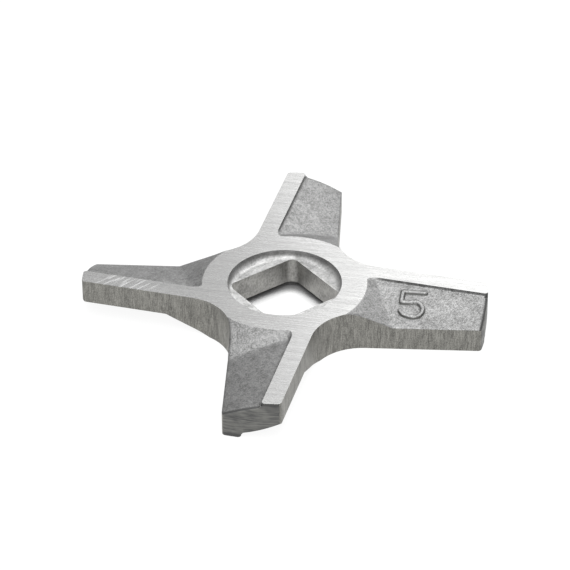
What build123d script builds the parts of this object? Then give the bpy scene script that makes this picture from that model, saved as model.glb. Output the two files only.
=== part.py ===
from build123d import *

import math
import os

os.makedirs("parts", exist_ok=True)

# Four-armed, double-sided cross knife for a hand meat grinder.
# Frame: +Z up, origin at the centre of the underside, flats of the drive hole along X and Y,
# so the four arms lie on the diagonals. Both faces are alike: half a turn about the axis of
# any arm brings the knife back onto itself, except for the raised size figure.

# Body, mm and degrees
sweep_diameter = 47.5  # circle that the four turned tips lie on
thickness = 5.0  # from ground face to ground face
arm_count = 4
arm_tip_width = 6.7  # across one arm where its sides meet the circle of the tips
arm_taper = 6.0  # degrees by which each side of an arm leans from the arm's axis
gullet_radius = 6.1  # hollow side between two neighbouring arms

# Hub
ring_diameter = 19.3  # ground ring around the drive
recess_diameter = 13.4  # shallow round recess in each face
upper_recess_depth = 1.12
lower_recess_depth = 0.87
recess_floor_radius = 0.8
drive_across_flats = 9.5  # square hole that the auger's spigot turns
drive_corner_radius = 1.1

# Cutting lands, and the hollow that takes up the rest of each arm's face
land_width = 2.15  # ground strip along the cutting edge
land_step = 0.42  # drop from the land to the hollow beside it
land_draft = 12  # degrees that this drop leans from upright
land_root_radius = 0.3  # where this drop runs out into the hollow
hollow_depth = 2.16  # depth of the hollow at the arm's far side
hollow_crown = 0.2  # how far the hollow's floor bulges between its two sides
ramp_angle = 25.5  # degrees of the slope from the ring down into the hollow
ramp_corner_radius = 0.8  # where the ring turns into the land
tip_edge_radius = 0.45  # along the tip of each hollow and the tip's upright corners

# Raised size figure in one hollow
figure_height = 4.05
figure_width = 3.05
figure_stroke = 0.44
figure_raise = 0.22
figure_reach = 15.15  # middle of the figure, out along the arm
figure_shift = 0.9  # middle of the figure, from the arm's axis away from the land
bowl_radius = 1.1  # round stroke of the figure, to the middle of the stroke
bowl_start_angle = 125  # where the round stroke starts and ends, in degrees
bowl_end_angle = -110
tail_height = 0.73  # end of the tail, above the lowest point of the round stroke
tail_bulge = 0.14  # how far the tail's middle lies outside a straight line, in X and in Y

# Dependent sizes
tip_radius = sweep_diameter / 2
ring_radius = ring_diameter / 2
half_tip = arm_tip_width / 2
taper_slope = math.tan(math.radians(arm_taper))
tip_reach = math.sqrt(tip_radius**2 - half_tip**2)
land_across = land_width / math.cos(math.radians(arm_taper))
middle = thickness / 2
arm_turn = 360 / arm_count
first_arm = arm_turn / 2
figure_arm = first_arm - arm_turn
spare = thickness  # how far a cutter runs past what it cuts
floor_spare = 0.3  # how far a floor runs on past each side, as a share of its width


def arm_half_width(reach):
    """Half the width of an arm at this distance from the centre, along its axis."""
    return half_tip + (tip_reach - reach) * taper_slope


def land_edge(reach):
    """Where the land ends and the hollow starts, across an arm that points along X."""
    return arm_half_width(reach) - land_across


def floor_section(reach, lift):
    """Section of all that lies above a hollow's floor, across an arm that points along X."""
    near = Vector(reach, land_edge(reach), thickness - land_step + lift)
    far = Vector(reach, -arm_half_width(reach), thickness - hollow_depth + lift)
    crest = (near + far) / 2 + Vector(0, 0, hollow_crown)
    past_near = near + (near - far) * floor_spare - Vector(0, 0, hollow_crown)
    past_far = far + (far - near) * floor_spare - Vector(0, 0, hollow_crown)
    top = thickness * 2 + spare
    floor = ThreePointArc(past_far, crest, past_near)
    sides = Polyline(past_near, (reach, past_near.Y, top), (reach, past_far.Y, top), past_far)
    return Wire([floor, *sides.edges()])


def above_floor(lift=0):
    """All that lies above a hollow's floor, moved up by lift, out past the tip."""
    ends = [floor_section(ring_radius / 2, lift), floor_section(tip_radius + spare, lift)]
    return Solid.make_loft(ends, ruled=True)


def hollow():
    """What is cut from the upper face of an arm that points along X."""
    run = 1 / math.tan(math.radians(ramp_angle))
    rise = ring_radius / run / 2
    high = thickness + rise / 2
    lean = (high - thickness) * math.tan(math.radians(land_draft))
    stop = tip_radius + spare
    side = -3 * arm_half_width(0)
    near = [(0, land_edge(0) + lean), (stop, land_edge(stop) + lean)]
    corners = [*near, (stop, side), (0, side)]
    wedge = Pos(0, 0, high) * make_face(Polyline(*corners, close=True))
    space = extrude(wedge, -high, taper=land_draft)
    space -= Cone(
        ring_radius + thickness * run,
        ring_radius - rise * run,
        thickness + rise,
        align=(Align.CENTER, Align.CENTER, Align.MIN),
    )
    bends = space.edges().filter_by(GeomType.BSPLINE)
    space = fillet(bends.sort_by(Axis.Y)[-1], ramp_corner_radius)
    return space & above_floor()


def blank():
    """The knife as a flat plate: arms, gullets and turned tips."""
    stop = tip_radius + spare
    corners = [
        (0, -arm_half_width(0)),
        (stop, -arm_half_width(stop)),
        (stop, arm_half_width(stop)),
        (0, arm_half_width(0)),
    ]
    arm = make_face(Polyline(*corners, close=True))
    outline = Sketch() + [Rot(0, 0, first_arm + arm_turn * n) * arm for n in range(arm_count)]
    half_turn = math.radians(arm_turn / 2)
    notch = arm_half_width(0) / (math.sin(half_turn) + math.cos(half_turn) * taper_slope)
    sharp = [v for v in outline.vertices() if abs(Vector(*v).length - notch) < notch / 100]
    outline = fillet(sharp, gullet_radius)
    outline = outline & Circle(tip_radius)
    return extrude(outline, thickness)


def figure():
    """The size figure 5, drawn in strokes with its middle at the origin, top towards +Y."""
    right = (figure_width - figure_stroke) / 2
    top = (figure_height - figure_stroke) / 2
    centre = Vector(right - bowl_radius, bowl_radius - top)
    bowl_start = centre + Vector(bowl_radius, 0).rotate(Axis.Z, bowl_start_angle)
    bowl_end = centre + Vector(bowl_radius, 0).rotate(Axis.Z, bowl_end_angle)
    foot = Vector(-right, bowl_start.Y)
    tail = Vector(-right, tail_height - top)
    bend = (bowl_end + tail) / 2 - Vector(tail_bulge, tail_bulge)
    bowl = CenterArc(centre, bowl_radius, bowl_end_angle, bowl_start_angle - bowl_end_angle)
    shape = SlotArc(bowl, figure_stroke) + SlotArc(ThreePointArc(bowl_end, bend, tail), figure_stroke)
    for stroke in [Line((right, top), (-right, top)), Line((-right, top), foot), Line(foot, bowl_start)]:
        along = stroke % 0
        turn = math.degrees(math.atan2(along.Y, along.X))
        shape += Pos(stroke @ 0.5) * Rot(0, 0, turn) * SlotCenterToCenter(stroke.length, figure_stroke)
    return shape


def recess(depth):
    """The space of a round recess that goes down from the plane of its mouth."""
    space = Cylinder(recess_diameter / 2, depth, align=(Align.CENTER, Align.CENTER, Align.MAX))
    return fillet(space.edges().group_by(Axis.Z)[0], recess_floor_radius)


def underside(shape):
    """The same shape on the lower face: half a turn about the arm's axis."""
    return shape.rotate(Axis((0, 0, middle), (1, 0, 0)), 180)


def at_tip(edge):
    """Whether an edge lies on the circle of the tips."""
    points = [edge @ 0, edge @ 0.5, edge @ 1]
    return all(abs(math.hypot(point.X, point.Y) - tip_radius) < land_step / 100 for point in points)


def is_rounded(edge):
    """Whether an edge at a tip is an upright corner or runs along the end of a hollow's floor."""
    fall = abs((edge @ 0).Z - (edge @ 1).Z)
    across = math.hypot((edge @ 0).X - (edge @ 1).X, (edge @ 0).Y - (edge @ 1).Y)
    return edge.geom_type == GeomType.LINE or across > fall > 0


def seen_from_arm(point):
    """Where a point lies for its own arm turned onto X, with the nearer face up."""
    distance = math.hypot(point.X, point.Y)
    angle = math.degrees(math.atan2(point.Y, point.X)) - first_arm
    angle -= round(angle / arm_turn) * arm_turn
    side = 1 if point.Z > middle else -1
    across = distance * math.sin(math.radians(angle)) * side
    return Vector(distance * math.cos(math.radians(angle)), across, middle + abs(point.Z - middle))


def is_root(edge):
    """Whether an edge is where the drop from a land meets the floor of its hollow."""
    points = [seen_from_arm(edge @ 0.1), seen_from_arm(edge @ 0.9)]
    floor = thickness - land_step
    level = all(abs(point.Z - floor) < land_step / 2 for point in points)
    beside = all(abs(point.Y - land_edge(point.X)) < land_step for point in points)
    return level and beside and edge.length > land_width


cutter = hollow()
raised = Pos(figure_reach, -figure_shift, middle) * extrude(figure(), middle)
raised -= above_floor(figure_raise)

body = blank()
for arm in range(arm_count):
    turn = Rot(0, 0, first_arm + arm_turn * arm)
    body -= turn * cutter
    body -= turn * underside(cutter)
tip_edges = [edge for edge in body.edges() if at_tip(edge)]
body = fillet([edge for edge in tip_edges if is_rounded(edge)], tip_edge_radius)
body = fillet([edge for edge in body.edges() if is_root(edge)], land_root_radius)

body -= Pos(0, 0, thickness) * recess(upper_recess_depth)
body -= underside(Pos(0, 0, thickness) * recess(lower_recess_depth))
drive = RectangleRounded(drive_across_flats, drive_across_flats, drive_corner_radius)
body -= extrude(drive, thickness)
body += Rot(0, 0, figure_arm) * raised

export_step(body, "parts/knife.step")
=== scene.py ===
import math

import bpy
from bpy.props import FloatProperty, FloatVectorProperty, PointerProperty
from mathutils import Matrix, Quaternion, Vector


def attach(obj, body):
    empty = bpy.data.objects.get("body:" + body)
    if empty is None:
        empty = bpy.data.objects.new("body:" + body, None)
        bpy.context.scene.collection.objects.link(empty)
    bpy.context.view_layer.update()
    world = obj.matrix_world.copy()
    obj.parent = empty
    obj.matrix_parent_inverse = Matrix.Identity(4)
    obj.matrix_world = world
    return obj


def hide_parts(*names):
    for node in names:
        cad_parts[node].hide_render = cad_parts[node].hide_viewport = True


bl_info = {
    "name": "Meat grinder knife",
    "version": (1, 0, 0),
    "blender": (4, 5, 0),
    "location": "3D View > Sidebar > Knife",
    "description": "Finishes of a four-armed meat grinder knife, and a plain studio for it",
    "category": "Object",
}

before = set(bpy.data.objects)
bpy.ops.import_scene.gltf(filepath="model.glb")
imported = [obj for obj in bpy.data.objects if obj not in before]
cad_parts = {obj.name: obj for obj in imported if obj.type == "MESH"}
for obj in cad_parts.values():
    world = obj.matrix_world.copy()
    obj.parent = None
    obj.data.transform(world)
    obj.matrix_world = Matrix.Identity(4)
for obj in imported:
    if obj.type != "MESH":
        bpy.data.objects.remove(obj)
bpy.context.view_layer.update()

MM = 0.001
HAIR = 0.00001  # places nearer than this count as one

# Sizes of the knife that the finishes follow, metres and degrees
THICKNESS = 0.005
MIDDLE = THICKNESS / 2
TIP_RADIUS = 0.02375
TIP_ROUNDING = 0.0003  # how far in from the tips their own finish starts
RECESS_RADIUS = 0.0067
DRIVE_REACH = 0.0064  # the drive hole's walls lie within this distance of the axis
LAND_STEP = 0.0004  # height of the drop from a land to its hollow
LAND_DRAFT = 12  # lean of that drop
ARM_COUNT = 4
ARM_TURN = 360 / ARM_COUNT
FIRST_ARM = ARM_TURN / 2
SCUFF_ACROSS = 0.0025  # middle of the scuffs, across from their arm's axis

# Rounded upright corner at the end of each land, for an arm along X
END_RADIUS = 0.00035
END_CENTRE = (0.023348, 0.001556)  # middle of the rounding
END_FLOOR = 0.00452  # height down to which the corner is rounded
END_SIDES = 96  # flat sides of the whole round that the corner is a part of

# Raised size figure, for an arm along X
FIGURE_PLACE = (0.01515, -0.0009, 0)  # middle of the figure
FIGURE_ACROSS = 0.003  # the figure's walls lie within this distance of their arm's axis

# Middle line of the figure's stroke, from the middle of the figure, millimetres and degrees
FIGURE_RIGHT = 1.305
FIGURE_TOP = 1.805
NECK_FOOT = 0.196
BOWL_RADIUS = 1.1
BOWL_START = 125
BOWL_END = -110
BOWL_PARTS = 8
TAIL_BEND = (-0.878, -1.547)
TAIL_END = (-FIGURE_RIGHT, -1.075)

# A small face is told by how far its normal points up or down
UPRIGHT = 0.02
STEEP = 0.6
LEVEL = 0.999
SMOOTH_ANGLE = 28  # faces that meet at less than this are shaded as one
EDGE_SAMPLES = 8  # rays for the softened corners and the contact shadow

# Marks in the finishes, along X, Y and Z
SCUFF_STROKE = (2.6 * MM, 0.38 * MM, 5 * MM)
SIDE_LINE = (0.09 * MM, 0.09 * MM, 1.3 * MM)
SIDE_GRAIN = (0.1 * MM, 0.1 * MM, 0.16 * MM)
SIDE_CLOUD = (0.8 * MM, 0.8 * MM, 3 * MM)
TIP_LINE = (2.2 * MM, 2.2 * MM, 0.17 * MM)
TIP_SPOT = (1.5 * MM, 1.5 * MM, 0.7 * MM)
RECESS_DIMPLE = (0.22 * MM, 0.22 * MM, 0.22 * MM)
RECESS_CLOUD = (1.2 * MM, 1.2 * MM, 1.2 * MM)
DRIVE_GRAIN = (0.25 * MM, 0.25 * MM, 0.35 * MM)
DRIVE_CLOUD = (1.4 * MM, 1.4 * MM, 1.4 * MM)

# Noise that shows as a finish's dark colour, and as its bright colour
GROUND_TONES = (0.4, 0.6)
SCUFF_TONES = (0.52, 0.68)
CAST_TONES = (0.38, 0.62)
SIDE_TONES = (0.4, 0.6)
TIP_TONES = (0.38, 0.6)
RECESS_TONES = (0.36, 0.6)
DRIVE_TONES = (0.36, 0.62)
NOISE_RANGE = (0.3, 0.7)  # nearly all noise lies in here

# Heights of the marks
GROUND_RELIEF = 0.012 * MM
CAST_RELIEF = 0.035 * MM
SIDE_RELIEF = 0.03 * MM
TIP_RELIEF = 0.05 * MM
RECESS_RELIEF = 0.06 * MM
DRIVE_RELIEF = 0.05 * MM

# Ranges over which a finish goes over into painted shade or a painted highlight
FIGURE_HIGHLIGHT = (0.16 * MM, 0.08 * MM)  # painted highlight on top of the figure, from the middle of its stroke
TIP_BROW_SHADE = (MIDDLE - 0.45 * MM, MIDDLE - 0.3 * MM)  # painted shade along the top and bottom edges of a tip, from half its height
TIP_FILLET_SHADE = (TIP_RADIUS - 0.05 * MM, TIP_RADIUS - 0.1 * MM)  # painted shade on the rounded corner inside a tip, from the axis
TIP_CREASE_SHADE = (TIP_RADIUS - 0.18 * MM, TIP_RADIUS - 0.23 * MM)  # darker painted shade further in, towards the hollow, from the axis

# Floor, as it is seen inside the drive hole and outside the knife
FLOOR_COLOUR = (0.8, 0.8, 0.8, 1)
HOLE_REACH = (7 * MM, 7.5 * MM)  # from the axis, where the one goes over into the other
FLOOR_GLOW = (0.8, 0.92)  # how much of the floor is plain white there
HOLE_SHADE = (0.52, 0.82)  # openness that is black, and that is white


def length(name, description, default, precision=5):
    """A size that the sidebar shows in the scene's unit of length."""
    return FloatProperty(
        name=name,
        description=description,
        default=default,
        min=0,
        precision=precision,
        unit="LENGTH",
    )


def angle(name, description, degrees):
    """An angle, given in degrees."""
    return FloatProperty(
        name=name, description=description, default=math.radians(degrees), subtype="ANGLE"
    )


def colour(name, description, default):
    """A colour that the sidebar shows as a swatch."""
    return FloatVectorProperty(
        name=name,
        description=description,
        default=default,
        size=3,
        min=0,
        max=1,
        subtype="COLOR",
    )


def share(name, description, default, top=1):
    """A plain number from 0 up to top."""
    return FloatProperty(name=name, description=description, default=default, min=0, max=top)


def power(name, description, default):
    """The power of a lamp."""
    return FloatProperty(name=name, description=description, default=default, min=0, unit="POWER")


class KnifeFinishes(bpy.types.PropertyGroup):
    """Colours and grain of each finish on the knife, and the colours of the shade and highlight
    painted on it.
    """

    ground_colour: colour(
        "Ground faces", "Lands and ring, fresh from the grinder", (0.35, 0.35, 0.347)
    )
    ground_dark: colour("Ground, worn", "Darker streaks in the ground faces", (0.235, 0.235, 0.233))
    ground_roughness: share("Ground roughness", "How dull the ground faces are", 0.22)
    ground_brushing: share("Ground brushing", "How far the scratches draw out a highlight", 0.8)
    scratch_turn: angle(
        "Scratch direction", "Direction of the grinding scratches, from the X axis", -47
    )
    scratch_length: length("Scratch length", "Length of one grinding scratch", 0.006)
    scratch_width: length("Scratch width", "Width of one grinding scratch", 0.00012)
    # Also the colour of the painted highlight on top of the size figure's stroke
    scuff_and_highlight_colour: colour(
        "Scuffs", "Short bright scuffs near the tip of one land", (0.52, 0.52, 0.52)
    )
    scuff_turn: angle("Scuff direction", "Direction of the scuffs, from the X axis", 6)
    scuff_reach: length("Scuff reach", "Middle of the scuffs, out along the arm", 0.0185)
    scuff_spread: length("Scuff spread", "How far the scuffs reach from their middle", 0.0055)
    cast_colour: colour("Cast hollows", "As-cast skin of the hollows", (0.212, 0.212, 0.211))
    # Also the colour of the painted shade in the crease where a tip meets its hollow
    cast_dark_and_shade: colour("Cast, dark grains", "Darker grains in the cast skin", (0.085, 0.085, 0.084))
    cast_roughness: share("Cast roughness", "How dull the cast skin is", 0.5)
    cast_grain: length("Cast grain", "Size of the grain in the cast skin", 0.00017)
    cast_rounding: length(
        "Cast rounding", "How far the inner corners of the hollows are softened", 0.0005
    )
    # Painted shade: a dark line round the foot of the raised size figure's walls
    figure_shade_colour: colour(
        "Figure outline", "Dark line round the raised size figure", (0.06, 0.06, 0.058)
    )
    figure_shade_offset: length(
        "Outline offset", "From the middle of the figure's stroke to the dark line", 0.00025
    )
    figure_shade_width: length("Outline width", "Width of the dark line round the figure", 0.00016)
    side_colour: colour("Ground sides", "Upright sides of the arms", (0.325, 0.32, 0.295))
    side_dark: colour("Ground sides, dark", "Darker lines in the sides", (0.118, 0.116, 0.107))
    side_roughness: share("Side roughness", "How dull the sides are", 0.45)
    tip_colour: colour("Turned tips", "Round ends of the arms", (0.205, 0.205, 0.193))
    tip_dark: colour("Turned tips, dark", "Darker turning marks and spots", (0.10, 0.10, 0.10))
    # Painted shade along the top and bottom edges of the tips, and in their inner crease
    tip_edge_shade: colour("Turned tips, edge", "Dark upper edge of the tips", (0.07, 0.07, 0.07))
    tip_roughness: share("Tip roughness", "How dull the tips are", 0.5)
    recess_colour: colour(
        "Bright recess", "Shiny floor round the drive hole", (0.345, 0.345, 0.342)
    )
    recess_dark: colour(
        "Bright recess, dark", "Darker dimples in that floor", (0.185, 0.185, 0.183)
    )
    recess_roughness: share("Recess roughness", "How dull the recess is", 0.48)
    drive_colour: colour("Drive hole walls", "Walls of the square hole", (0.40, 0.395, 0.377))
    drive_dark: colour("Drive walls, dark", "Darker mottling in those walls", (0.205, 0.202, 0.194))
    drive_roughness: share("Drive roughness", "How dull the walls of the hole are", 0.5)


class KnifeStudio(bpy.types.PropertyGroup):
    """Camera, lamps and floor round the knife."""

    focal_length: FloatProperty(
        name="Focal length", description="Lens of the camera", default=194.87, unit="CAMERA"
    )
    camera_distance: length("Camera distance", "From the knife's middle", 0.36183, 4)
    camera_azimuth: angle("Azimuth", "Camera's turn round the knife", -35.62)
    camera_elevation: angle("Elevation", "Camera's height over the horizon", 34.69)
    camera_roll: angle("Roll", "Camera's tilt round its own axis", -0.43)
    camera_right: length("Camera to the right", "Camera's move to its own right", 0.0000237, 6)
    camera_up: length("Camera up", "Camera's move along its own upright", 0.001711, 6)
    side_power: power("Side lamp", "Power of the lamp at the back right", 0.197)
    top_power: power("Top lamp", "Power of the lamp overhead", 1.35)
    front_power: power("Front lamp", "Power of the high lamp on the camera's side", 1.3)
    back_power: power("Back lamp", "Power of the high strip lamp at the back", 0.47)
    sky_strength: share("Sky", "Even light that the floor gets from all round", 0.9, 4)
    corner_size: length("Contact shadow", "How far the dark under the knife reaches", 0.0018)
    floor_size: length("Floor size", "Side of the floor", 4.0, 2)


def arm_across(place):
    """How far a place lies from the axis of the nearest arm."""
    turn = math.degrees(math.atan2(place.y, place.x)) - FIRST_ARM
    turn -= round(turn / ARM_TURN) * ARM_TURN
    return abs(math.hypot(place.x, place.y) * math.sin(math.radians(turn)))


def finish_of(middle, normal):
    """Name of the finish of a small face, from its middle and its normal."""
    reach = math.hypot(middle.x, middle.y)
    upright = abs(normal.z) < UPRIGHT
    height = abs(middle.z - MIDDLE)
    if abs(normal.z) > LEVEL and height > MIDDLE - HAIR:
        return "ground"
    if reach < RECESS_RADIUS + HAIR:
        return "drive" if upright and reach < DRIVE_REACH else "recess"
    if reach > TIP_RADIUS - (5 * HAIR if upright else TIP_ROUNDING):
        return "tip"
    if upright and arm_across(middle) > FIGURE_ACROSS:
        return "side"
    if UPRIGHT <= abs(normal.z) < STEEP and height > MIDDLE - LAND_STEP:
        return "step"
    return "cast"


# Materials. Every pattern reads Object coordinates, in metres.


def new_material(name):
    """An empty metal material, with its node tree, main shader and Object coordinates."""
    material = bpy.data.materials.new(name)
    material.use_nodes = True
    tree = material.node_tree
    shader = tree.nodes["Principled BSDF"]
    shader.inputs["Metallic"].default_value = 1
    coords = tree.nodes.new("ShaderNodeTexCoord")
    return material, tree, shader, coords.outputs["Object"]


def marks_of(tree, coords, size, detail=2, roughness=0.6, turn=0, distortion=0):
    """Cloudy noise whose marks have this size along X, Y and Z, turned round Z."""
    mapping = tree.nodes.new("ShaderNodeMapping")
    mapping.vector_type = "TEXTURE"
    mapping.inputs["Rotation"].default_value = (0, 0, turn)
    mapping.inputs["Scale"].default_value = size
    tree.links.new(coords, mapping.inputs["Vector"])
    texture = tree.nodes.new("ShaderNodeTexNoise")
    texture.inputs["Scale"].default_value = 1
    texture.inputs["Detail"].default_value = detail
    texture.inputs["Roughness"].default_value = roughness
    texture.inputs["Distortion"].default_value = distortion
    tree.links.new(mapping.outputs["Vector"], texture.inputs["Vector"])
    return texture.outputs["Fac"]


def remap(tree, value, low, high, to_low=0, to_high=1):
    """A value moved from one range to another, and held there."""
    mapped = tree.nodes.new("ShaderNodeMapRange")
    mapped.inputs["From Min"].default_value = low
    mapped.inputs["From Max"].default_value = high
    mapped.inputs["To Min"].default_value = to_low
    mapped.inputs["To Max"].default_value = to_high
    tree.links.new(value, mapped.inputs["Value"])
    return mapped.outputs["Result"]


def calculate(tree, operation, *values):
    """One Math node; each value is a number or another node's output."""
    node = tree.nodes.new("ShaderNodeMath")
    node.operation = operation
    for socket, value in zip(node.inputs, values):
        if isinstance(value, (int, float)):
            socket.default_value = value
        else:
            tree.links.new(value, socket)
    return node.outputs["Value"]


def weighted(tree, *parts):
    """Sum of values, each times its weight."""
    total = 0
    for value, weight in parts:
        total = calculate(tree, "MULTIPLY_ADD", value, weight, total)
    return total


def vector_math(tree, operation, first, second=None):
    """One Vector Math node; each value is a plain vector or another node's output."""
    node = tree.nodes.new("ShaderNodeVectorMath")
    node.operation = operation
    for socket, value in zip(node.inputs, (first, second)):
        if isinstance(value, bpy.types.NodeSocket):
            tree.links.new(value, socket)
        elif value is not None:
            socket.default_value = value
    gives_number = operation in ("DOT_PRODUCT", "DISTANCE", "LENGTH")
    return node.outputs["Value" if gives_number else "Vector"]


def blend_colours(tree, factor, low, high):
    """A colour between two others; each is a plain colour or another node's output."""
    node = tree.nodes.new("ShaderNodeMix")
    node.data_type = "RGBA"
    tree.links.new(factor, node.inputs["Factor"])
    for name, value in (("A", low), ("B", high)):
        socket = [slot for slot in node.inputs if slot.name == name and slot.type == "RGBA"][0]
        if isinstance(value, bpy.types.NodeSocket):
            tree.links.new(value, socket)
        else:
            socket.default_value = (*value, 1)
    return [slot for slot in node.outputs if slot.type == "RGBA"][0]


def roughen(tree, shader, marks, dull, smooth):
    """Roughness from dull where the marks are low to smooth where they are high."""
    tree.links.new(remap(tree, marks, *NOISE_RANGE, dull, smooth), shader.inputs["Roughness"])


def raise_surface(tree, shader, marks, height, strength=0.6, rounding=0):
    """Bump of the given height on the main shader, over edges softened by rounding."""
    bump = tree.nodes.new("ShaderNodeBump")
    if rounding:
        soft = tree.nodes.new("ShaderNodeBevel")
        soft.samples = EDGE_SAMPLES
        soft.inputs["Radius"].default_value = rounding
        tree.links.new(soft.outputs["Normal"], bump.inputs["Normal"])
    bump.inputs["Strength"].default_value = strength
    bump.inputs["Distance"].default_value = height
    tree.links.new(marks, bump.inputs["Height"])
    tree.links.new(bump.outputs["Normal"], shader.inputs["Normal"])


def brush(tree, shader, turn, amount):
    """Highlights drawn out across marks that run in this direction."""
    shader.inputs["Anisotropic"].default_value = amount
    across = tree.nodes.new("ShaderNodeCombineXYZ")
    across.inputs["X"].default_value = -math.sin(turn)
    across.inputs["Y"].default_value = math.cos(turn)
    moved = tree.nodes.new("ShaderNodeVectorTransform")
    moved.vector_type = "VECTOR"
    moved.convert_from = "OBJECT"
    moved.convert_to = "WORLD"
    tree.links.new(across.outputs["Vector"], moved.inputs["Vector"])
    tree.links.new(moved.outputs["Vector"], shader.inputs["Tangent"])


def ground_steel(finish):
    """Lands and ring: bright, with fine straight grinding scratches."""
    material, tree, shader, coords = new_material("ground_steel")
    turn = finish.scratch_turn
    long, wide = finish.scratch_length, finish.scratch_width
    fine = marks_of(tree, coords, (long, wide, wide), 3, 0.65, turn)
    broad = marks_of(tree, coords, (long * 2, wide * 4, wide * 4), 3, turn=turn)
    short = marks_of(tree, coords, (long / 4, wide * 1.3, wide * 1.3), turn=turn)
    grain = marks_of(tree, coords, (wide * 2.5, wide, wide), turn=turn)
    marks = weighted(tree, (fine, 0.3), (broad, 0.2), (short, 0.25), (grain, 0.25))
    tone = remap(tree, marks, *GROUND_TONES)
    steel = blend_colours(tree, tone, finish.ground_dark, finish.ground_colour)
    steel = blend_colours(tree, handling_marks(tree, coords, finish), steel, finish.scuff_and_highlight_colour)
    tree.links.new(steel, shader.inputs["Base Color"])
    rough = finish.ground_roughness
    roughen(tree, shader, marks, rough + 0.025, rough - 0.025)
    raise_surface(tree, shader, marks, GROUND_RELIEF, 0.35)
    brush(tree, shader, turn, finish.ground_brushing)
    return material


def handling_marks(tree, coords, finish):
    """Where short slanting scuffs show, on the land of one arm near its tip."""
    land = Vector((finish.scuff_reach, SCUFF_ACROSS, THICKNESS))
    centre = Matrix.Rotation(math.radians(FIRST_ARM + ARM_TURN), 3, "Z") @ land
    away = vector_math(tree, "DISTANCE", coords, centre)
    near = remap(tree, away, finish.scuff_spread, finish.scuff_spread / 3)
    strokes = marks_of(tree, coords, SCUFF_STROKE, roughness=0.5, turn=finish.scuff_turn)
    return calculate(tree, "MULTIPLY", near, remap(tree, strokes, *SCUFF_TONES))


def cast_skin(finish, name="cast_skin", rounding=None):
    """Hollows: an even grey cast skin with a fine grain, painted shade round the foot of the size
    figure and a painted highlight on its top.
    """
    material, tree, shader, coords = new_material(name)
    grain = Vector((1, 1, 1)) * finish.cast_grain
    fine = marks_of(tree, coords, grain)
    patchy = marks_of(tree, coords, grain * 3)
    cloudy = marks_of(tree, coords, grain * 10, 3)
    marks = weighted(tree, (fine, 0.5), (patchy, 0.28), (cloudy, 0.22))
    tone = remap(tree, marks, *CAST_TONES)
    skin = blend_colours(tree, tone, finish.cast_dark_and_shade, finish.cast_colour)
    # Painted shade: a dark line round the foot of the size figure
    edge = stroke_distance(tree, coords)
    line = calculate(tree, "ABSOLUTE", calculate(tree, "SUBTRACT", edge, finish.figure_shade_offset))
    figure_shade = remap(tree, line, finish.figure_shade_width / 2, finish.figure_shade_width / 5)
    skin = blend_colours(tree, figure_shade, skin, finish.figure_shade_colour)
    # Painted highlight: the top of the figure's stroke is lighter
    crest_highlight = remap(tree, edge, *FIGURE_HIGHLIGHT, 0, 0.1)
    skin = blend_colours(tree, crest_highlight, skin, finish.scuff_and_highlight_colour)
    tree.links.new(skin, shader.inputs["Base Color"])
    rough = finish.cast_roughness
    roughen(tree, shader, fine, rough + 0.05, rough - 0.08)
    rounding = finish.cast_rounding if rounding is None else rounding
    raise_surface(tree, shader, fine, CAST_RELIEF, rounding=rounding)
    return material


def cast_step(finish):
    """Short drop beside each land: the same skin, down to a crisp corner."""
    return cast_skin(finish, "cast_step", 0)


def figure_line():
    """Points along the middle of the size figure's stroke, millimetres."""
    neck = [(FIGURE_RIGHT, FIGURE_TOP), (-FIGURE_RIGHT, FIGURE_TOP), (-FIGURE_RIGHT, NECK_FOOT)]
    bowl = []
    for part in range(BOWL_PARTS + 1):
        turn = math.radians(BOWL_START + (BOWL_END - BOWL_START) * part / BOWL_PARTS)
        across = FIGURE_RIGHT - BOWL_RADIUS + BOWL_RADIUS * math.cos(turn)
        up = BOWL_RADIUS - FIGURE_TOP + BOWL_RADIUS * math.sin(turn)
        bowl.append((across, up))
    return [*neck, *bowl, TAIL_BEND, TAIL_END]


def stroke_distance(tree, coords):
    """How far a place is from the middle line of the size figure's strokes."""
    turned = tree.nodes.new("ShaderNodeMapping")
    turned.vector_type = "TEXTURE"
    turn = math.radians(FIRST_ARM - ARM_TURN)
    middle = Matrix.Rotation(turn, 3, "Z") @ Vector(FIGURE_PLACE)
    turned.inputs["Location"].default_value = middle
    turned.inputs["Rotation"].default_value = (0, 0, turn)
    tree.links.new(coords, turned.inputs["Vector"])
    flat = vector_math(tree, "MULTIPLY", turned.outputs["Vector"], (1, 1, 0))
    points = [Vector((*point, 0)) * MM for point in figure_line()]
    nearest = 1
    for start, end in zip(points, points[1:]):
        away = segment_distance(tree, flat, start, end)
        nearest = calculate(tree, "MINIMUM", away, nearest)
    return nearest


def segment_distance(tree, place, start, end):
    """How far a place is from a straight line between two points."""
    along = end - start
    offset = vector_math(tree, "SUBTRACT", place, start)
    share_along = vector_math(tree, "DOT_PRODUCT", offset, along / along.length_squared)
    held = tree.nodes.new("ShaderNodeClamp")
    tree.links.new(share_along, held.inputs["Value"])
    foot = tree.nodes.new("ShaderNodeVectorMath")
    foot.operation = "SCALE"
    foot.inputs[0].default_value = along
    tree.links.new(held.outputs["Result"], foot.inputs["Scale"])
    return vector_math(tree, "DISTANCE", offset, foot.outputs["Vector"])


def ground_side(finish):
    """Upright sides: darker, with grinding lines that run up and down."""
    material, tree, shader, coords = new_material("ground_side")
    fine = marks_of(tree, coords, SIDE_LINE)
    grain = marks_of(tree, coords, SIDE_GRAIN)
    broad = marks_of(tree, coords, SIDE_CLOUD, 3)
    marks = weighted(tree, (fine, 0.35), (grain, 0.4), (broad, 0.25))
    tone = remap(tree, marks, *SIDE_TONES)
    steel = blend_colours(tree, tone, finish.side_dark, finish.side_colour)
    tree.links.new(steel, shader.inputs["Base Color"])
    rough = finish.side_roughness
    roughen(tree, shader, fine, rough + 0.06, rough - 0.06)
    raise_surface(tree, shader, fine, SIDE_RELIEF, 0.5)
    return material


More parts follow.
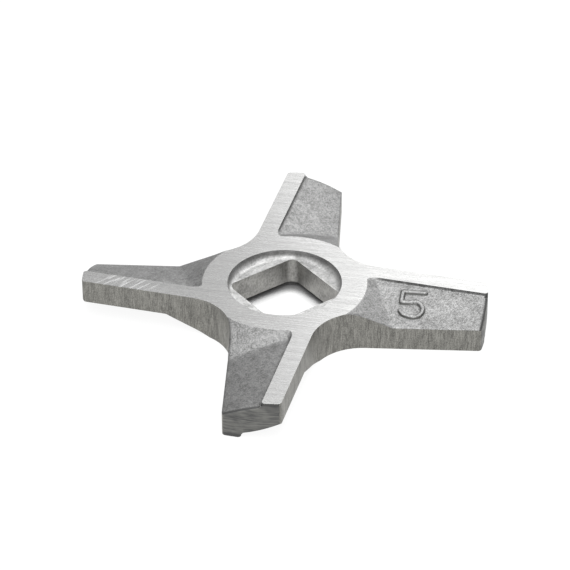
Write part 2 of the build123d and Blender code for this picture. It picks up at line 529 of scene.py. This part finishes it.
def turned_tip(finish):
    """Round ends of the arms: level turning marks and spots, with painted shade along their top and
    bottom edges and in their crease towards the hollow.
    """
    material, tree, shader, coords = new_material("turned_tip")
    fine = marks_of(tree, coords, TIP_LINE, 3, distortion=0.15)
    spots = marks_of(tree, coords, TIP_SPOT, roughness=0.5)
    marks = weighted(tree, (fine, 0.6), (spots, 0.4))
    tone = remap(tree, marks, *TIP_TONES)
    steel = blend_colours(tree, tone, finish.tip_dark, finish.tip_colour)
    parts = tree.nodes.new("ShaderNodeSeparateXYZ")
    tree.links.new(coords, parts.inputs["Vector"])
    height = calculate(tree, "ABSOLUTE", calculate(tree, "SUBTRACT", parts.outputs["Z"], MIDDLE))
    reach = vector_math(tree, "LENGTH", vector_math(tree, "MULTIPLY", coords, (1, 1, 0)))
    # Painted shade: darker towards the top and bottom edges, and in the crease towards the hollow
    brow_shade = remap(tree, height, *TIP_BROW_SHADE, 0, 0.75)
    steel = blend_colours(tree, brow_shade, steel, finish.tip_edge_shade)
    steel = blend_colours(tree, remap(tree, reach, *TIP_FILLET_SHADE), steel, finish.tip_edge_shade)
    steel = blend_colours(tree, remap(tree, reach, *TIP_CREASE_SHADE), steel, finish.cast_dark_and_shade)
    tree.links.new(steel, shader.inputs["Base Color"])
    rough = finish.tip_roughness
    roughen(tree, shader, fine, rough + 0.08, rough - 0.08)
    raise_surface(tree, shader, marks, TIP_RELIEF)
    return material


def bright_recess(finish):
    """Round recess: shiny, with soft dimples."""
    material, tree, shader, coords = new_material("bright_recess")
    fine = marks_of(tree, coords, RECESS_DIMPLE, 3)
    soft = marks_of(tree, coords, RECESS_CLOUD, roughness=0.5)
    marks = weighted(tree, (soft, 0.5), (fine, 0.5))
    tone = remap(tree, marks, *RECESS_TONES)
    steel = blend_colours(tree, tone, finish.recess_dark, finish.recess_colour)
    tree.links.new(steel, shader.inputs["Base Color"])
    rough = finish.recess_roughness
    roughen(tree, shader, soft, rough + 0.1, rough - 0.05)
    raise_surface(tree, shader, marks, RECESS_RELIEF)
    return material


def drive_wall(finish):
    """Walls of the drive hole: mottled, with a fine grain."""
    material, tree, shader, coords = new_material("drive_wall")
    fine = marks_of(tree, coords, DRIVE_GRAIN, 3, 0.65)
    cloudy = marks_of(tree, coords, DRIVE_CLOUD, roughness=0.5)
    marks = weighted(tree, (cloudy, 0.4), (fine, 0.6))
    tone = remap(tree, marks, *DRIVE_TONES)
    steel = blend_colours(tree, tone, finish.drive_dark, finish.drive_colour)
    tree.links.new(steel, shader.inputs["Base Color"])
    rough = finish.drive_roughness
    roughen(tree, shader, fine, rough + 0.05, rough - 0.08)
    raise_surface(tree, shader, marks, DRIVE_RELIEF)
    return material


FINISHES = {
    "ground": ground_steel,
    "cast": cast_skin,
    "side": ground_side,
    "tip": turned_tip,
    "recess": bright_recess,
    "drive": drive_wall,
    "step": cast_step,
}


class KNIFE_OT_body(bpy.types.Operator):
    """Make the knife's body from its frame part and give each surface its finish"""

    bl_idname = "knife.body"
    bl_label = "Knife body"

    def execute(self, context):
        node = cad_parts["knife"]
        body = bpy.data.objects.new("knife_body", node.data.copy())
        context.scene.collection.objects.link(body)
        bpy.ops.object.select_all(action="DESELECT")
        body.select_set(True)
        context.view_layer.objects.active = body
        bpy.ops.object.mode_set(mode="EDIT")
        bpy.ops.mesh.select_all(action="SELECT")
        bpy.ops.mesh.customdata_custom_splitnormals_clear()
        bpy.ops.mesh.remove_doubles(threshold=HAIR / 100)
        bpy.ops.mesh.normals_make_consistent(inside=False)
        bpy.ops.object.mode_set(mode="OBJECT")

        self.round_land_ends(context, body)
        self.finish_faces(context, body)

        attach(body, "root")
        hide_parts("knife")
        return {"FINISHED"}

    def round_land_ends(self, context, body):
        """Round the upright corner where the drop beside each land meets the tip."""
        x, y = END_CENTRE
        top = THICKNESS + END_RADIUS
        spread = math.tan(math.radians(LAND_DRAFT))
        bpy.ops.object.select_all(action="DESELECT")
        bpy.ops.mesh.primitive_cone_add(
            vertices=END_SIDES,
            radius1=END_RADIUS + spread * (THICKNESS - END_FLOOR + END_RADIUS),
            radius2=END_RADIUS - spread * END_RADIUS,
            depth=THICKNESS - END_FLOOR + 2 * END_RADIUS,
            location=(x, y, (END_FLOOR + THICKNESS) / 2),
        )
        post = context.object
        bpy.ops.mesh.primitive_cube_add(
            size=1,
            location=(x + END_RADIUS, y - END_RADIUS, (END_FLOOR + top) / 2),
            scale=(2 * END_RADIUS, 2 * END_RADIUS, top - END_FLOOR),
        )
        corner = context.object
        bpy.ops.object.transform_apply(location=True, rotation=True, scale=True)
        self.cut(context, corner, post)
        turned_over = Matrix.Translation((0, 0, THICKNESS)) @ Matrix.Rotation(math.pi, 4, "X")
        for arm in range(ARM_COUNT):
            turn = Matrix.Rotation(math.radians(FIRST_ARM + ARM_TURN * arm), 4, "Z")
            for flip in (Matrix(), turned_over):
                tool = bpy.data.objects.new("corner_tool", corner.data.copy())
                tool.data.transform(turn @ flip)
                context.scene.collection.objects.link(tool)
                self.cut(context, body, tool)
        bpy.data.meshes.remove(corner.data)

    def cut(self, context, target, tool):
        """Take one shape out of another, and remove the tool."""
        bpy.ops.object.select_all(action="DESELECT")
        target.select_set(True)
        context.view_layer.objects.active = target
        boolean = target.modifiers.new("cut", "BOOLEAN")
        boolean.operation = "DIFFERENCE"
        boolean.solver = "EXACT"
        boolean.object = tool
        bpy.ops.object.modifier_apply(modifier=boolean.name)
        bpy.data.meshes.remove(tool.data)

    def finish_faces(self, context, body):
        """Give each face its finish, and a crisp edge round the ground faces."""
        body.data.materials.clear()
        for finish in FINISHES.values():
            body.data.materials.append(finish(context.scene.knife_finishes))
        order = list(FINISHES)
        for face in body.data.polygons:
            face.material_index = order.index(finish_of(face.center, face.normal))
        bpy.ops.object.shade_smooth_by_angle(angle=math.radians(SMOOTH_ANGLE))
        edge_finishes = {}
        for face in body.data.polygons:
            for key in face.edge_keys:
                edge_finishes.setdefault(key, set()).add(order[face.material_index])
        for edge in body.data.edges:
            met = edge_finishes[edge.key]
            if "ground" in met and len(met) > 1:
                edge.use_edge_sharp = True


class KNIFE_OT_studio(bpy.types.Operator):
    """Set up the pale floor, the even sky, the soft lamps and the camera"""

    bl_idname = "knife.studio"
    bl_label = "Studio"

    def execute(self, context):
        studio = context.scene.knife_studio
        context.scene.view_settings.view_transform = "Standard"
        self.make_floor(context, studio)
        self.make_sky(context, studio)
        self.make_lamps(context, studio)
        self.make_camera(context, studio)
        return {"FINISHED"}

    def seen(self, tree):
        """1 where something is seen, straight or in a reflection, and 0 where it gives light."""
        rays = tree.nodes.new("ShaderNodeLightPath")
        straight, mirrored, through = (
            rays.outputs[name] for name in ("Is Camera Ray", "Is Glossy Ray", "Is Transmission Ray")
        )
        return calculate(tree, "MAXIMUM", calculate(tree, "MAXIMUM", straight, mirrored), through)

    def make_floor(self, context, studio):
        """White floor, with a contact shadow inside the drive hole."""
        bpy.ops.object.select_all(action="DESELECT")
        bpy.ops.mesh.primitive_plane_add(size=studio.floor_size, location=(0, 0, -HAIR))
        floor = context.object
        floor.name = "floor"
        material = bpy.data.materials.new("white_floor")
        material.use_nodes = True
        tree = material.node_tree
        shader = tree.nodes["Principled BSDF"]
        shader.inputs["Base Color"].default_value = FLOOR_COLOUR
        shader.inputs["Roughness"].default_value = 1
        shader.inputs["Specular IOR Level"].default_value = 0
        coords = tree.nodes.new("ShaderNodeTexCoord")
        reach = vector_math(tree, "LENGTH", coords.outputs["Object"])
        outside = remap(tree, reach, *HOLE_REACH)
        corner = tree.nodes.new("ShaderNodeAmbientOcclusion")
        corner.inputs["Distance"].default_value = studio.corner_size
        corner.samples = EDGE_SAMPLES
        openness = calculate(tree, "ADD", outside, corner.outputs["AO"])
        glow = tree.nodes.new("ShaderNodeEmission")
        glow.inputs["Color"].default_value = (1, 1, 1, 1)
        tree.links.new(remap(tree, openness, *HOLE_SHADE), glow.inputs["Strength"])
        clear = remap(tree, outside, 0, 1, *FLOOR_GLOW)
        mix = tree.nodes.new("ShaderNodeMixShader")
        tree.links.new(calculate(tree, "MULTIPLY", self.seen(tree), clear), mix.inputs["Fac"])
        tree.links.new(shader.outputs["BSDF"], mix.inputs[1])
        tree.links.new(glow.outputs["Emission"], mix.inputs[2])
        tree.links.new(mix.outputs["Shader"], tree.nodes["Material Output"].inputs["Surface"])
        floor.data.materials.append(material)

    def make_sky(self, context, studio):
        """White all round, and a little dimmer as light."""
        world = bpy.data.worlds.new("even_sky")
        context.scene.world = world
        world.use_nodes = True
        tree = world.node_tree
        background = tree.nodes["Background"]
        background.inputs["Color"].default_value = (1, 1, 1, 1)
        strength = remap(tree, self.seen(tree), 0, 1, studio.sky_strength, 1)
        tree.links.new(strength, background.inputs["Strength"])

    def make_lamps(self, context, studio):
        """Soft lamps that point at the middle of the floor."""
        # Name, place, width and height, turn round its own axis in degrees, power
        lamps = (
            ("side_lamp", (0.152, 0.075, 0.108), (0.16, 0.20), 35, studio.side_power),
            ("top_lamp", (0, 0, 0.38), (0.54, 0.54), 0, studio.top_power),
            ("front_lamp", (-0.125, -0.175, 0.32), (0.28, 0.28), 0, studio.front_power),
            ("back_lamp", (0.1108, 0.1545, 0.3291), (0.34, 0.12), 0, studio.back_power),
        )
        for name, place, size, turn, watts in lamps:
            light = bpy.data.lights.new(name, "AREA")
            light.shape = "RECTANGLE"
            light.size, light.size_y = size
            light.energy = watts
            lamp = bpy.data.objects.new(name, light)
            lamp.location = place
            lamp.rotation_mode = "QUATERNION"
            aim = Vector(place).to_track_quat("Z", "Y")
            lamp.rotation_quaternion = aim @ Quaternion((0, 0, 1), math.radians(turn))
            context.scene.collection.objects.link(lamp)

    def make_camera(self, context, studio):
        """Long lens that looks down at the knife's middle."""
        azimuth, elevation = studio.camera_azimuth, studio.camera_elevation
        out = Vector((math.sin(azimuth), -math.cos(azimuth), 0))
        back = math.cos(elevation) * out + Vector((0, 0, math.sin(elevation)))
        right = Vector((math.cos(azimuth), math.sin(azimuth), 0))
        up = back.cross(right)
        roll = studio.camera_roll
        level = math.cos(roll) * right + math.sin(roll) * up
        upright = math.cos(roll) * up - math.sin(roll) * right
        place = Vector((0, 0, MIDDLE)) + studio.camera_distance * back
        place += studio.camera_right * level + studio.camera_up * upright
        camera_data = bpy.data.cameras.new("camera")
        camera_data.sensor_width = 36
        camera_data.lens = studio.focal_length
        camera = bpy.data.objects.new("camera", camera_data)
        context.scene.collection.objects.link(camera)
        turn = Matrix((level, upright, back)).transposed()
        camera.matrix_world = Matrix.Translation(place) @ turn.to_4x4()
        context.scene.camera = camera


class KNIFE_PT_sidebar(bpy.types.Panel):
    """The knife's finishes and its studio"""

    bl_idname = "KNIFE_PT_sidebar"
    bl_label = "Meat grinder knife"
    bl_space_type = "VIEW_3D"
    bl_region_type = "UI"
    bl_category = "Knife"

    def draw(self, context):
        layout = self.layout
        for group, operator in (
            (context.scene.knife_finishes, "knife.body"),
            (context.scene.knife_studio, "knife.studio"),
        ):
            box = layout.box()
            for name in group.bl_rna.properties.keys():
                if name not in ("rna_type", "name"):
                    box.prop(group, name)
            box.operator(operator)


CLASSES = (KnifeFinishes, KnifeStudio, KNIFE_OT_body, KNIFE_OT_studio, KNIFE_PT_sidebar)


def register():
    for cls in CLASSES:
        bpy.utils.register_class(cls)
    bpy.types.Scene.knife_finishes = PointerProperty(type=KnifeFinishes)
    bpy.types.Scene.knife_studio = PointerProperty(type=KnifeStudio)


def unregister():
    del bpy.types.Scene.knife_studio
    del bpy.types.Scene.knife_finishes
    for cls in reversed(CLASSES):
        bpy.utils.unregister_class(cls)


def main():
    register()
    bpy.ops.knife.body()
    bpy.ops.knife.studio()


if __name__ == "__main__":
    main()
